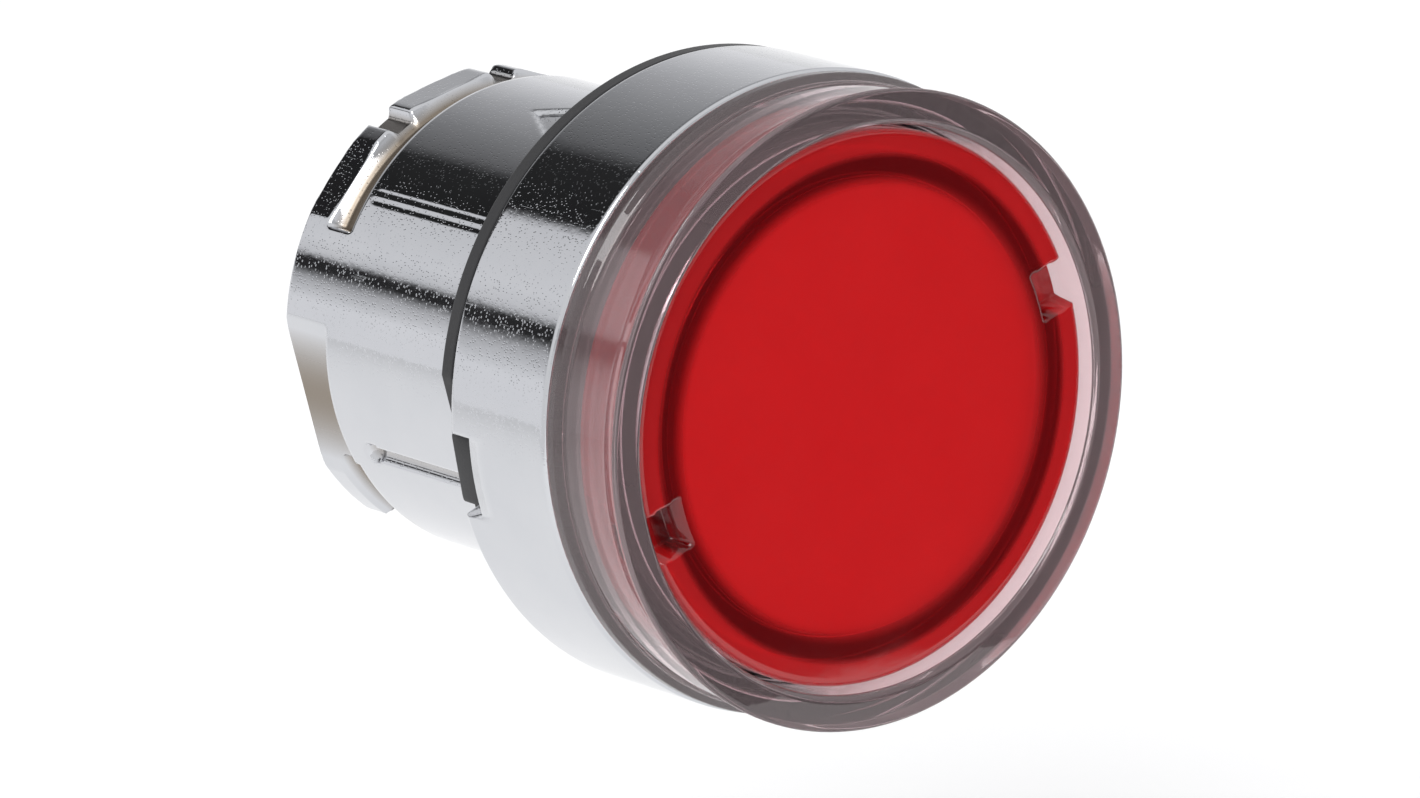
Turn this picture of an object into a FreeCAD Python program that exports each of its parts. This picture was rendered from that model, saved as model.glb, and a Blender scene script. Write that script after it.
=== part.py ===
"""Illuminated flush push-button head for a round panel hole, as separate solids.

Frame: millimetres, +Z up, the button faces -Y. The origin is the centre of the gasket's rear
face, which is the front surface of the panel. Angles are seen from the front: 0 degrees is +X,
90 degrees is +Z, where the arrow mark is. "Station" means a place along Y.
"""
import FreeCAD, Part
import math
import os

# --- overall sizes ---------------------------------------------------------------------------
BARREL_RADIUS = 11.0
BARREL_LENGTH = 16.6
BEZEL_OVERLAP = 3.5  # how far the bezel reaches past the barrel, all round
BEZEL_LENGTH = 6.9
TRAVEL = 4.3

# --- clearances ------------------------------------------------------------------------------
SNAP_GAP = 0.05  # between pieces that snap or press together
RUN_GAP = 0.06  # plunger in its bush
MOVE_GAP = 0.25  # round the moving lens and shoulder
END_GAP = 0.4  # left under the moving parts at full travel

# --- casting ---------------------------------------------------------------------------------
BEZEL_WALL = 1.15
BEZEL_WEB = 1.6
EDGE_ROUND = 0.3
BARREL_WALL = 1.7
POCKET_WALL = 1.0
LAND_STEP = 1.1
LAND_THICKNESS = 1.3
REGISTER_STEP = 0.2  # the register under the gasket stands this proud of the barrel
REGISTER_INSET = 0.1  # and ends this far in front of the gasket's rear face
FLANGE_THICKNESS = 1.85
BAYONET_GROOVE_WIDTH = 1.6
BAYONET_GROOVE_DEPTH = 0.8
SIDE_FLAT_DEPTH = 0.7
GROOVE_SECTORS = ((44, 92), (196, 148))  # start angle and sweep of each
ENTRY_SECTOR = (218, 104)
FLANGE_NOTCH_ANGLES = (73, 105)
FLANGE_NOTCH_WIDTH = 1.2
FLANGE_NOTCH_DEPTH = 0.55
FLANGE_FACET_ANGLES = (56, 89, 124)
FLANGE_FACET_DEPTH = 0.2
BEZEL_NOTCH_WIDTH = 3.5
BEZEL_NOTCH_DEPTH = 1.1
BEZEL_NOTCH_ANGLE = 175.5
BEZEL_NOTCH_RADIAL = 2.2
KEYWAY_ANGLES = (33.0, 147.0)
KEYWAY_WIDTH = 2.4
KEY_HEIGHT = 0.65
KEY_GAP = 0.3

# --- marks on the barrel ----------------------------------------------------------------------
ARROW_BASE_Y = 4.9
ARROW_LENGTH = 3.3
ARROW_HALF_WIDTH = 1.85
ARROW_DEPTH = 0.2
PARTING_LINE_ANGLES = (125.3, 127.6)
PARTING_LINE_RADIUS = 0.07
PARTING_LINE_MARGIN = 0.6  # left between the lines' ends and the bayonet groove
VENT_GROOVE_ANGLE = 190
VENT_GROOVE_RADIUS = 0.4
VENT_GROOVE_MARGIN = 1.85
VENT_END_RADIUS = 0.56

# --- gasket and guard ring -------------------------------------------------------------------
GASKET_THICKNESS = 0.75
GASKET_INSET = 0.05
GASKET_FLAT_INSET = 1.1  # from the bezel's edge to the flats at the sides
GASKET_TAB_INSET = 0.6
GASKET_LOWER_SECTOR = (186, 168)  # start angle and sweep of the trimmed lower edge
GUARD_WALL = 1.7
GUARD_INSET = 0.1
GUARD_FLANGE = 0.55
GUARD_NECK_DEPTH = 0.35
GUARD_LIP = 1.1
GUARD_LEDGE = 0.3  # width of the ledge under the guard ring's seal
GUARD_SKIRT_LENGTH = 3.05
GUARD_BEAD = 0.2
GUARD_BEVEL = 0.25
GUARD_SEAL_THICKNESS = 0.7
GUARD_SEAL_ROUND = 0.15

# --- lens, diffuser and holder ---------------------------------------------------------------
LENS_RECESS = 0.67
CAP_HEIGHT = 4.65  # lens face to the back of the holder
LENS_WALL = 1.2
LENS_SKIRT_WALL = 1.0
LENS_EDGE_ROUND = 0.35
LENS_NOTCH_WIDTH = 2.2
LENS_NOTCH_DEPTH = 1.4
LENS_NOTCH_RADIAL = 1.85
LENS_NOTCH_ANGLE = 4.0
LENS_RIM_WIDTH = 2.15  # solid rim round the diffuser's seat
DIFFUSER_THICKNESS = 1.0
DIFFUSER_ROUND = 0.2
HOLDER_RIM = 1.4
HOLDER_FLOOR = 1.0
HOLDER_WALL = 1.05
HOLDER_SEAL_SECTION = 0.5

# --- plunger, bush, spring and what holds them ------------------------------------------------
SPRING_CHAMBER = 2.3  # radial room between plunger and barrel bore
PLUNGER_WALL = 0.65
SHOULDER_THICKNESS = 1.0
PLUNGER_OVERHANG = 0.3  # how far the plunger stands out of the barrel at rest
BUSH_LENGTH = 3.0
BUSH_BEVEL = 0.2
LIP_SEAL_LENGTH = 1.7
LIP_GROOVE_WIDTH = 1.4
SEAL_RETAINER_THICKNESS = 0.55
TUNNEL_WALL = 0.65
TUNNEL_LENGTH = 19.0
WIRE_DIAMETER = 0.8
SPRING_RADIAL_GAP = 0.8  # plunger surface to the coil's wire
SPRING_SEAT_THICKNESS = 0.8
CIRCLIP_THICKNESS = 0.8
CIRCLIP_BITE = 0.45
CIRCLIP_WIDTH = 1.45
CIRCLIP_OPENING = 34.0
CIRCLIP_BOTTOM_ANGLE = 270.0  # middle of the opening
EAR_RADIUS = 0.75
EAR_HOLE_RADIUS = 0.35
EAR_TURN = 3.0  # degrees from the clip's end to the ear's centre
REAR_MARGIN = 0.8  # casting left behind the circlip
PUSHER_WALL = 1.6
PUSHER_THICKNESS = 1.3
PUSHER_LUG_HEIGHT = 0.9
PUSHER_LUGS = 4
PUSHER_LUG_START = 36.0
PUSHER_LUG_SWEEP = 18.0
PUSHER_RIB_WIDTH = 0.3
PUSHER_STANDOFF = 0.2  # behind the circlip

# --- stations along Y, front to back ----------------------------------------------------------
PANEL_Y = 0.0
BEZEL_BACK_Y = PANEL_Y - GASKET_THICKNESS
REGISTER_END_Y = PANEL_Y - REGISTER_INSET
BEZEL_FRONT_Y = BEZEL_BACK_Y - BEZEL_LENGTH
CUP_FLOOR_Y = BEZEL_BACK_Y - BEZEL_WEB
HOLDER_BACK_Y = CUP_FLOOR_Y - END_GAP - TRAVEL
LENS_FACE_Y = HOLDER_BACK_Y - CAP_HEIGHT
GUARD_FRONT_Y = LENS_FACE_Y - LENS_RECESS
DIFFUSER_FRONT_Y = LENS_FACE_Y + LENS_WALL
DIFFUSER_BACK_Y = DIFFUSER_FRONT_Y + DIFFUSER_THICKNESS
HOLDER_STEP_Y = HOLDER_BACK_Y - HOLDER_RIM
HOLDER_FLOOR_Y = HOLDER_BACK_Y - HOLDER_FLOOR
SKIRT_END_Y = BEZEL_FRONT_Y + GUARD_SKIRT_LENGTH
LEDGE_Y = SKIRT_END_Y + GUARD_SEAL_THICKNESS
SEAL_FLOOR_Y = CUP_FLOOR_Y + SEAL_RETAINER_THICKNESS + LIP_SEAL_LENGTH
BUSH_FRONT_Y = SEAL_FLOOR_Y + LAND_THICKNESS
SHOULDER_FRONT_Y = BUSH_FRONT_Y + BUSH_LENGTH
SHOULDER_BACK_Y = SHOULDER_FRONT_Y + SHOULDER_THICKNESS
BARREL_END_Y = PANEL_Y + BARREL_LENGTH
FLANGE_Y = BARREL_END_Y - FLANGE_THICKNESS
GROOVE_Y = FLANGE_Y - BAYONET_GROOVE_WIDTH
CIRCLIP_BACK_Y = BARREL_END_Y - REAR_MARGIN
CIRCLIP_FRONT_Y = CIRCLIP_BACK_Y - CIRCLIP_THICKNESS
SPRING_SEAT_Y = CIRCLIP_FRONT_Y - SPRING_SEAT_THICKNESS
PLUNGER_END_Y = BARREL_END_Y + PLUNGER_OVERHANG

# --- radii that follow from the sizes above ---------------------------------------------------
BEZEL_RADIUS = BARREL_RADIUS + BEZEL_OVERLAP
CHAMBER_RADIUS = BARREL_RADIUS - BARREL_WALL
LAND_RADIUS = CHAMBER_RADIUS - LAND_STEP
SEAL_POCKET_RADIUS = BARREL_RADIUS - POCKET_WALL
PLUNGER_RADIUS = CHAMBER_RADIUS - SPRING_CHAMBER
GUARD_OUTER = BEZEL_RADIUS - GUARD_INSET
GUARD_BORE = GUARD_OUTER - GUARD_WALL
GUARD_SKIRT_OUTER = BEZEL_RADIUS - BEZEL_WALL - SNAP_GAP
LENS_RADIUS = GUARD_BORE - MOVE_GAP
DIFFUSER_RADIUS = LENS_RADIUS - LENS_RIM_WIDTH
LENS_SKIRT_BORE = LENS_RADIUS - LENS_SKIRT_WALL
SPIGOT_RADIUS = LENS_SKIRT_BORE - SNAP_GAP
PLUNGER_BORE = PLUNGER_RADIUS - PLUNGER_WALL
SHOULDER_RADIUS = CHAMBER_RADIUS - MOVE_GAP
SEAT_BORE = PLUNGER_RADIUS + MOVE_GAP
FLANGE_FLOOR = BARREL_RADIUS - BAYONET_GROOVE_DEPTH
REGISTER_RADIUS = BARREL_RADIUS + REGISTER_STEP

ORIGIN = FreeCAD.Vector(0, 0, 0)
TURN_AXIS = FreeCAD.Vector(0, -1, 0)  # positive turns run from +X towards +Z
ALONG = FreeCAD.Vector(0, 1, 0)
ACROSS = FreeCAD.Vector(0, 0, 1)
CUT_MARGIN = 1.0  # how far cutting tools run past the faces they cut


def vector(radius, station, angle=0.0):
    """Point at a radius and angle from the axis, at a station."""
    a = math.radians(angle)
    return FreeCAD.Vector(radius * math.cos(a), station, radius * math.sin(a))


def turned(profile, start=0.0, sweep=360.0):
    """Solid turned from a closed outline of (radius, station) points."""
    corners = [vector(r, y) for r, y in profile]
    face = Part.Face(Part.makePolygon(corners + corners[:1]))
    solid = face.revolve(ORIGIN, TURN_AXIS, sweep)
    if solid.Volume < 0:
        solid.reverse()
    solid.rotate(ORIGIN, TURN_AXIS, start)
    return solid


def ring(inner, outer, front, back, start=0.0, sweep=360.0):
    """Plain ring, or a sector of one."""
    return turned([(inner, front), (outer, front), (outer, back), (inner, back)], start, sweep)


def radial_block(inner, outer, width, front, back, angle):
    """Rectangular block that points outwards at an angle."""
    block = Part.makeBox(outer - inner, back - front, width, FreeCAD.Vector(inner, front, -width / 2))
    block.rotate(ORIGIN, TURN_AXIS, angle)
    return block


def flat_cut(distance, front, back, angle):
    """Block that leaves a flat at a distance from the axis, facing an angle."""
    reach = 2 * BEZEL_RADIUS
    return radial_block(distance, distance + reach, 2 * reach, front, back, angle)


def circle_edges(shape, radius, station):
    """The round edges of a turned shape at a radius and a station."""
    found = []
    for edge in shape.Edges:
        curve = edge.Curve
        if isinstance(curve, Part.Circle) and abs(curve.Radius - radius) < 1e-4:
            if abs(curve.Center.y - station) < 1e-4:
                found.append(edge)
    return found


def rounded(shape, size, places):
    """Shape with the round edges at the given (radius, station) places filleted."""
    edges = [edge for radius, station in places for edge in circle_edges(shape, radius, station)]
    return shape.makeFillet(size, edges)


def bevelled(shape, size, places):
    """Shape with the round edges at the given (radius, station) places chamfered."""
    edges = [edge for radius, station in places for edge in circle_edges(shape, radius, station)]
    return shape.makeChamfer(size, edges)


# --- casting ---------------------------------------------------------------------------------
def casting_blank():
    """Bezel, register and barrel in one, with the stepped bore through it."""
    outside = turned([
        (0, BEZEL_FRONT_Y), (BEZEL_RADIUS, BEZEL_FRONT_Y), (BEZEL_RADIUS, BEZEL_BACK_Y),
        (REGISTER_RADIUS, BEZEL_BACK_Y), (REGISTER_RADIUS, REGISTER_END_Y), (BARREL_RADIUS, REGISTER_END_Y),
        (BARREL_RADIUS, BARREL_END_Y), (0, BARREL_END_Y)])
    outside = rounded(outside, EDGE_ROUND, [(BEZEL_RADIUS, BEZEL_FRONT_Y), (BEZEL_RADIUS, BEZEL_BACK_Y)])
    outside = bevelled(outside, EDGE_ROUND, [(BARREL_RADIUS, BARREL_END_Y)])
    skirt_bore = GUARD_SKIRT_OUTER + SNAP_GAP
    bores = [
        ring(0, skirt_bore, BEZEL_FRONT_Y - CUT_MARGIN, LEDGE_Y),
        ring(0, skirt_bore - GUARD_LEDGE, BEZEL_FRONT_Y, CUP_FLOOR_Y),
        ring(0, SEAL_POCKET_RADIUS, CUP_FLOOR_Y - CUT_MARGIN, SEAL_FLOOR_Y),
        ring(0, LAND_RADIUS, CUP_FLOOR_Y, BARREL_END_Y),
        ring(0, CHAMBER_RADIUS, BUSH_FRONT_Y, BARREL_END_Y + CUT_MARGIN),
        ring(0, skirt_bore + GUARD_BEAD, *bead_stations(SNAP_GAP)),
        ring(0, CHAMBER_RADIUS + CIRCLIP_BITE + SNAP_GAP,
             CIRCLIP_FRONT_Y - SNAP_GAP, CIRCLIP_BACK_Y + SNAP_GAP)]
    return outside.cut(bores)


def bead_stations(gap=0.0):
    """Front and back of the guard ring's snap bead, widened by a gap for its groove."""
    bead_back = SKIRT_END_Y - GUARD_BEAD
    return bead_back - 2 * GUARD_BEAD - gap, bead_back + gap


def bayonet_cuts():
    """Groove sectors, the open entry below, and the notches and facets of the flange."""
    past = BARREL_RADIUS + CUT_MARGIN
    end = BARREL_END_Y + CUT_MARGIN
    cuts = [ring(FLANGE_FLOOR, past, GROOVE_Y, FLANGE_Y, *sector) for sector in GROOVE_SECTORS]
    cuts.append(ring(FLANGE_FLOOR, past, FLANGE_Y, end, *ENTRY_SECTOR))
    for angle in FLANGE_NOTCH_ANGLES:
        cuts.append(radial_block(BARREL_RADIUS - FLANGE_NOTCH_DEPTH, past, FLANGE_NOTCH_WIDTH,
                                 FLANGE_Y, end, angle))
    for angle in FLANGE_FACET_ANGLES:
        cuts.append(flat_cut(BARREL_RADIUS - FLANGE_FACET_DEPTH, FLANGE_Y, end, angle))
    for angle in (0, 180):
        cuts.append(flat_cut(BARREL_RADIUS - SIDE_FLAT_DEPTH, GROOVE_Y + EDGE_ROUND, end, angle))
    return cuts


def barrel_marks():
    """Arrow mark, the two parting lines and the vent groove with its round end."""
    tip_y = ARROW_BASE_Y + ARROW_LENGTH
    outline = [FreeCAD.Vector(0, tip_y, 0), FreeCAD.Vector(ARROW_HALF_WIDTH, ARROW_BASE_Y, 0),
               FreeCAD.Vector(-ARROW_HALF_WIDTH, ARROW_BASE_Y, 0)]
    arrow = Part.Face(Part.makePolygon(outline + outline[:1])).extrude(BEZEL_RADIUS * ACROSS)
    core = ring(0, BARREL_RADIUS - ARROW_DEPTH, ARROW_BASE_Y - CUT_MARGIN, tip_y + CUT_MARGIN)
    marks = [arrow.cut(core)]
    line_length = GROOVE_Y - PARTING_LINE_MARGIN - REGISTER_END_Y
    for angle in PARTING_LINE_ANGLES:
        marks.append(Part.makeCylinder(PARTING_LINE_RADIUS, line_length,
                                       vector(BARREL_RADIUS, REGISTER_END_Y, angle), ALONG))
    vent_end = GROOVE_Y - VENT_GROOVE_MARGIN
    marks.append(Part.makeCylinder(VENT_GROOVE_RADIUS, vent_end - REGISTER_END_Y,
                                   vector(BARREL_RADIUS, REGISTER_END_Y, VENT_GROOVE_ANGLE), ALONG))
    marks.append(Part.makeSphere(VENT_END_RADIUS, vector(BARREL_RADIUS, vent_end, VENT_GROOVE_ANGLE)))
    return marks


def body_casting():
    """Bezel, barrel and bayonet flange: one chrome-plated zinc casting."""
    cuts = bayonet_cuts() + barrel_marks()
    for angle in KEYWAY_ANGLES:
        cuts.append(radial_block(LAND_RADIUS, SHOULDER_RADIUS + KEY_HEIGHT + KEY_GAP, KEYWAY_WIDTH,
                                 SHOULDER_FRONT_Y, BARREL_END_Y + CUT_MARGIN, angle))
    cuts.append(radial_block(BEZEL_RADIUS - BEZEL_NOTCH_RADIAL, BEZEL_RADIUS + CUT_MARGIN, BEZEL_NOTCH_WIDTH,
                             BEZEL_BACK_Y - BEZEL_NOTCH_DEPTH, PANEL_Y, BEZEL_NOTCH_ANGLE))
    return casting_blank().cut(cuts)


# --- gasket, guard ring and its seal ----------------------------------------------------------
def panel_gasket():
    """Flat gasket, flat at the sides and trimmed below, with a tab that sits in the bezel's notch."""
    gasket = ring(REGISTER_RADIUS + SNAP_GAP, BEZEL_RADIUS - GASKET_INSET, BEZEL_BACK_Y, PANEL_Y)
    gasket = gasket.cut([flat_cut(BEZEL_RADIUS - GASKET_FLAT_INSET, BEZEL_BACK_Y - CUT_MARGIN,
                                  PANEL_Y + CUT_MARGIN, angle) for angle in (0, 180)])
    gasket = gasket.cut(ring(BEZEL_RADIUS - GASKET_FLAT_INSET, BEZEL_RADIUS + CUT_MARGIN,
                             BEZEL_BACK_Y - CUT_MARGIN, PANEL_Y + CUT_MARGIN, *GASKET_LOWER_SECTOR))
    tab = radial_block(BEZEL_RADIUS - BEZEL_NOTCH_RADIAL + SNAP_GAP, BEZEL_RADIUS - GASKET_TAB_INSET,
                       BEZEL_NOTCH_WIDTH - 4 * SNAP_GAP, BEZEL_BACK_Y - BEZEL_NOTCH_DEPTH + SNAP_GAP,
                       PANEL_Y, BEZEL_NOTCH_ANGLE)
    return gasket.fuse(tab).removeSplitter()


def guard_ring():
    """Clear ring: flange on the bezel, a shallow neck, a lip in front, and a skirt with a snap bead."""
    neck = GUARD_OUTER - GUARD_NECK_DEPTH
    lip_y = GUARD_FRONT_Y + GUARD_LIP
    bead_front, bead_back = bead_stations()
    return turned([
        (GUARD_BORE + GUARD_BEVEL, GUARD_FRONT_Y), (GUARD_OUTER, GUARD_FRONT_Y),
        (neck, lip_y), (neck, BEZEL_FRONT_Y - GUARD_FLANGE - GUARD_NECK_DEPTH),
        (GUARD_OUTER, BEZEL_FRONT_Y - GUARD_FLANGE), (GUARD_OUTER, BEZEL_FRONT_Y),
        (GUARD_SKIRT_OUTER, BEZEL_FRONT_Y), (GUARD_SKIRT_OUTER, bead_front),
        (GUARD_SKIRT_OUTER + GUARD_BEAD, (bead_front + bead_back) / 2), (GUARD_SKIRT_OUTER, bead_back),
        (GUARD_SKIRT_OUTER, SKIRT_END_Y), (GUARD_BORE, SKIRT_END_Y),
        (GUARD_BORE, GUARD_FRONT_Y + GUARD_BEVEL)])


def guard_seal():
    """Rubber ring between the guard ring's skirt and the ledge in the bezel."""
    bore = GUARD_BORE + SNAP_GAP
    return rounded(ring(bore, GUARD_SKIRT_OUTER, SKIRT_END_Y, LEDGE_Y), GUARD_SEAL_ROUND,
                   [(bore, SKIRT_END_Y), (GUARD_SKIRT_OUTER, LEDGE_Y)])


# --- lens, diffuser and holder ----------------------------------------------------------------
def lens_cap():
    """Red cap with a skirt, a seat for the diffuser and two key notches in its rim."""
    cap = turned([
        (0, LENS_FACE_Y), (LENS_RADIUS, LENS_FACE_Y), (LENS_RADIUS, HOLDER_STEP_Y - SNAP_GAP),
        (LENS_SKIRT_BORE, HOLDER_STEP_Y - SNAP_GAP), (LENS_SKIRT_BORE, DIFFUSER_BACK_Y),
        (DIFFUSER_RADIUS + SNAP_GAP, DIFFUSER_BACK_Y), (DIFFUSER_RADIUS + SNAP_GAP, DIFFUSER_FRONT_Y),
        (0, DIFFUSER_FRONT_Y)])
    cap = rounded(cap, LENS_EDGE_ROUND, [(LENS_RADIUS, LENS_FACE_Y)])
    notches = [radial_block(LENS_RADIUS - LENS_NOTCH_RADIAL, LENS_RADIUS + CUT_MARGIN, LENS_NOTCH_WIDTH,
                            LENS_FACE_Y - CUT_MARGIN, LENS_FACE_Y + LENS_NOTCH_DEPTH, LENS_NOTCH_ANGLE + side)
               for side in (0, 180)]
    return cap.cut(notches)


def diffuser_disc():
    """Opal disc that spreads the lamp's light."""
    disc = ring(0, DIFFUSER_RADIUS, DIFFUSER_FRONT_Y + SNAP_GAP, DIFFUSER_BACK_Y)
    return rounded(disc, DIFFUSER_ROUND, [(DIFFUSER_RADIUS, DIFFUSER_FRONT_Y + SNAP_GAP)])


def seal_groove():
    """Front and back of the O-ring groove on the holder's spigot."""
    middle = (DIFFUSER_BACK_Y + SNAP_GAP + HOLDER_STEP_Y) / 2
    return middle - HOLDER_SEAL_SECTION / 2, middle + HOLDER_SEAL_SECTION / 2


def lens_holder():
    """Dark carrier: a rim under the lens skirt, a spigot inside it and a floor round the plunger."""
    front = DIFFUSER_BACK_Y + SNAP_GAP
    hub = PLUNGER_RADIUS + SNAP_GAP
    inside = SPIGOT_RADIUS - HOLDER_WALL
    holder = turned([
        (inside, front), (SPIGOT_RADIUS, front), (SPIGOT_RADIUS, HOLDER_STEP_Y),
        (LENS_RADIUS - MOVE_GAP / 2, HOLDER_STEP_Y), (LENS_RADIUS - MOVE_GAP / 2, HOLDER_BACK_Y),
        (hub, HOLDER_BACK_Y), (hub, HOLDER_FLOOR_Y), (inside, HOLDER_FLOOR_Y)])
    groove = ring(SPIGOT_RADIUS - HOLDER_SEAL_SECTION, SPIGOT_RADIUS + CUT_MARGIN, *seal_groove())
    return holder.cut(groove)


def holder_seal():
    """O-ring in the holder's groove."""
    front, back = seal_groove()
    section = back - front - SNAP_GAP
    centre = vector(SPIGOT_RADIUS - section / 2, (front + back) / 2)
    return Part.makeTorus(centre.x, section / 2, vector(0, centre.y), ALONG)


# --- plunger and light tunnel -----------------------------------------------------------------
def plunger():
    """Tube with a shoulder behind the bush, two keys on it, and a groove at the rear for the pusher."""
    tube = turned([
        (PLUNGER_BORE, HOLDER_FLOOR_Y), (PLUNGER_RADIUS, HOLDER_FLOOR_Y),
        (PLUNGER_RADIUS, SHOULDER_FRONT_Y), (SHOULDER_RADIUS, SHOULDER_FRONT_Y),
        (SHOULDER_RADIUS, SHOULDER_BACK_Y), (PLUNGER_RADIUS, SHOULDER_BACK_Y),
        (PLUNGER_RADIUS, PLUNGER_END_Y), (PLUNGER_BORE, PLUNGER_END_Y)])
    keys = [radial_block(PLUNGER_RADIUS, SHOULDER_RADIUS + KEY_HEIGHT, KEYWAY_WIDTH - 2 * KEY_GAP,
                         SHOULDER_FRONT_Y, SHOULDER_BACK_Y, angle) for angle in KEYWAY_ANGLES]
    front, back = pusher_rib()
    groove = ring(PLUNGER_RADIUS - PLUNGER_WALL / 2, PLUNGER_RADIUS + CUT_MARGIN,
                  front - SNAP_GAP, back + SNAP_GAP)
    return tube.fuse(keys).removeSplitter().cut(groove)


def pusher_rib():
    """Front and back of the rib that holds the pusher on the plunger."""
    middle = (pusher_front() + PLUNGER_END_Y) / 2
    return middle - PUSHER_RIB_WIDTH / 2, middle + PUSHER_RIB_WIDTH / 2


def pusher_front():
    """Station of the pusher's front face, just behind the circlip."""
    return CIRCLIP_BACK_Y + PUSHER_STANDOFF


def contact_pusher():
    """Ring snapped on the plunger's rear end, with lugs that press the contact blocks."""
    inner, outer = PLUNGER_RADIUS + SNAP_GAP, PLUNGER_RADIUS + PUSHER_WALL
    front, back = pusher_front(), pusher_front() + PUSHER_THICKNESS
    body = ring(inner, outer, front, back)
    rib_front, rib_back = pusher_rib()
    rib = ring(PLUNGER_RADIUS - PLUNGER_WALL / 2 + SNAP_GAP, inner + CUT_MARGIN / 2, rib_front, rib_back)
    lugs = [ring(inner, outer, back - SNAP_GAP, back + PUSHER_LUG_HEIGHT,
                 360 * i / PUSHER_LUGS + PUSHER_LUG_START, PUSHER_LUG_SWEEP) for i in range(PUSHER_LUGS)]
    return body.fuse([rib] + lugs).removeSplitter()


def light_tunnel():
    """White funnel from the diffuser into a thin tube down the plunger."""
    front = DIFFUSER_BACK_Y + SNAP_GAP
    mouth = SPIGOT_RADIUS - HOLDER_WALL - 2 * SNAP_GAP
    tube = PLUNGER_BORE - SNAP_GAP
    throat_y = HOLDER_FLOOR_Y - 2 * SNAP_GAP
    end_y = front + TUNNEL_LENGTH
    return turned([
        (mouth - TUNNEL_WALL, front), (mouth, front), (tube, throat_y), (tube, end_y),
        (tube - TUNNEL_WALL, end_y), (tube - TUNNEL_WALL, throat_y + TUNNEL_WALL / 2)])


# --- bush, seals, spring and rear hardware ----------------------------------------------------
def guide_bush():
    """Plain bearing pressed against the land in the barrel."""
    bore = PLUNGER_RADIUS + RUN_GAP
    outer = CHAMBER_RADIUS - SNAP_GAP
    return bevelled(ring(bore, outer, BUSH_FRONT_Y, SHOULDER_FRONT_Y), BUSH_BEVEL, [(outer, BUSH_FRONT_Y)])


def lip_seal():
    """Rubber seal with a V groove in its front face."""
    front = CUP_FLOOR_Y + SEAL_RETAINER_THICKNESS
    inner, outer = PLUNGER_RADIUS + RUN_GAP, SEAL_POCKET_RADIUS - SNAP_GAP
    middle = (inner + outer) / 2
    half = LIP_GROOVE_WIDTH / 2
    return turned([(inner, front), (middle - half, front), (middle, front + LIP_SEAL_LENGTH / 2),
                   (middle + half, front), (outer, front), (outer, SEAL_FLOOR_Y), (inner, SEAL_FLOOR_Y)])


def seal_retainer():
    """Ring pressed into the pocket, in front of the lip seal."""
    return ring(PLUNGER_RADIUS + 2 * MOVE_GAP, SEAL_POCKET_RADIUS - SNAP_GAP, CUP_FLOOR_Y,
                CUP_FLOOR_Y + SEAL_RETAINER_THICKNESS)


def return_spring():
    """Coil between shoulder and seat: half turns that tilt in turn, few enough to fit at full travel."""
    room = SPRING_SEAT_Y - SHOULDER_BACK_Y
    halves = math.floor(2 * (room - TRAVEL - WIRE_DIAMETER) / WIRE_DIAMETER)
    rise = (room - WIRE_DIAMETER - 2 * SNAP_GAP) / halves
    coil_radius = PLUNGER_RADIUS + SPRING_RADIAL_GAP + WIRE_DIAMETER / 2
    turn_radius = math.hypot(coil_radius, rise / 2)
    tilt = math.degrees(math.atan2(rise / 2, coil_radius))
    section = Part.Face(Part.Wire(Part.makeCircle(WIRE_DIAMETER / 2, vector(turn_radius, 0), ACROSS)))
    turns = []
    for i in range(halves):
        half = section.revolve(ORIGIN, TURN_AXIS, 180)
        half.rotate(ORIGIN, ACROSS, -tilt)
        half.rotate(ORIGIN, TURN_AXIS, 180 * (i % 2))
        half.translate(vector(0, SHOULDER_BACK_Y + WIRE_DIAMETER / 2 + SNAP_GAP + rise * (i + 0.5)))
        turns.append(half)
    return turns[0].fuse(turns[1:])


def spring_seat():
    """Steel washer that the spring pushes back against."""
    return ring(SEAT_BORE, CHAMBER_RADIUS - 2 * SNAP_GAP, SPRING_SEAT_Y, CIRCLIP_FRONT_Y)


def rear_circlip():
    """Internal circlip with two eared ends."""
    outer = CHAMBER_RADIUS + CIRCLIP_BITE
    inner = outer - CIRCLIP_WIDTH
    start = CIRCLIP_BOTTOM_ANGLE + CIRCLIP_OPENING / 2
    clip = ring(inner, outer, CIRCLIP_FRONT_Y, CIRCLIP_BACK_Y, start, 360 - CIRCLIP_OPENING)
    to_ear = CIRCLIP_OPENING / 2 + EAR_TURN
    ends = [vector(inner + EAR_RADIUS / 4, CIRCLIP_FRONT_Y, CIRCLIP_BOTTOM_ANGLE + side * to_ear)
            for side in (-1, 1)]
    ears = [Part.makeCylinder(EAR_RADIUS, CIRCLIP_THICKNESS, end, ALONG) for end in ends]
    holes = [Part.makeCylinder(EAR_HOLE_RADIUS, CIRCLIP_THICKNESS, end, ALONG) for end in ends]
    return clip.fuse(ears).removeSplitter().cut(holes)


PIECES = (
    body_casting, panel_gasket, guard_ring, guard_seal, lens_cap, diffuser_disc, lens_holder, holder_seal,
    plunger, contact_pusher, light_tunnel, guide_bush, lip_seal, seal_retainer, return_spring, spring_seat,
    rear_circlip)

os.makedirs("parts", exist_ok=True)
for piece in PIECES:
    shape = piece()
    shape.exportStep("parts/" + piece.__name__ + ".step")
    print(piece.__name__, "solids", len(shape.Solids), "valid", shape.isValid(), "mm3", round(shape.Volume, 2))
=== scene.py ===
"""Looks of the illuminated push-button head: surfaces, finishes, studio and camera.

The head faces -Y with its arrow mark at +Z. Sizes are in millimetres in the classes below and are
turned to metres where a mesh is made. Angles are seen from the front: 0 degrees is +X, 90 is +Z.
"""

import logging
import math
from dataclasses import dataclass
from enum import Enum
from typing import Any, Dict, Optional, Sequence, Tuple

import bmesh
import bpy
import numpy as np
from mathutils import Matrix, Vector


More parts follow.
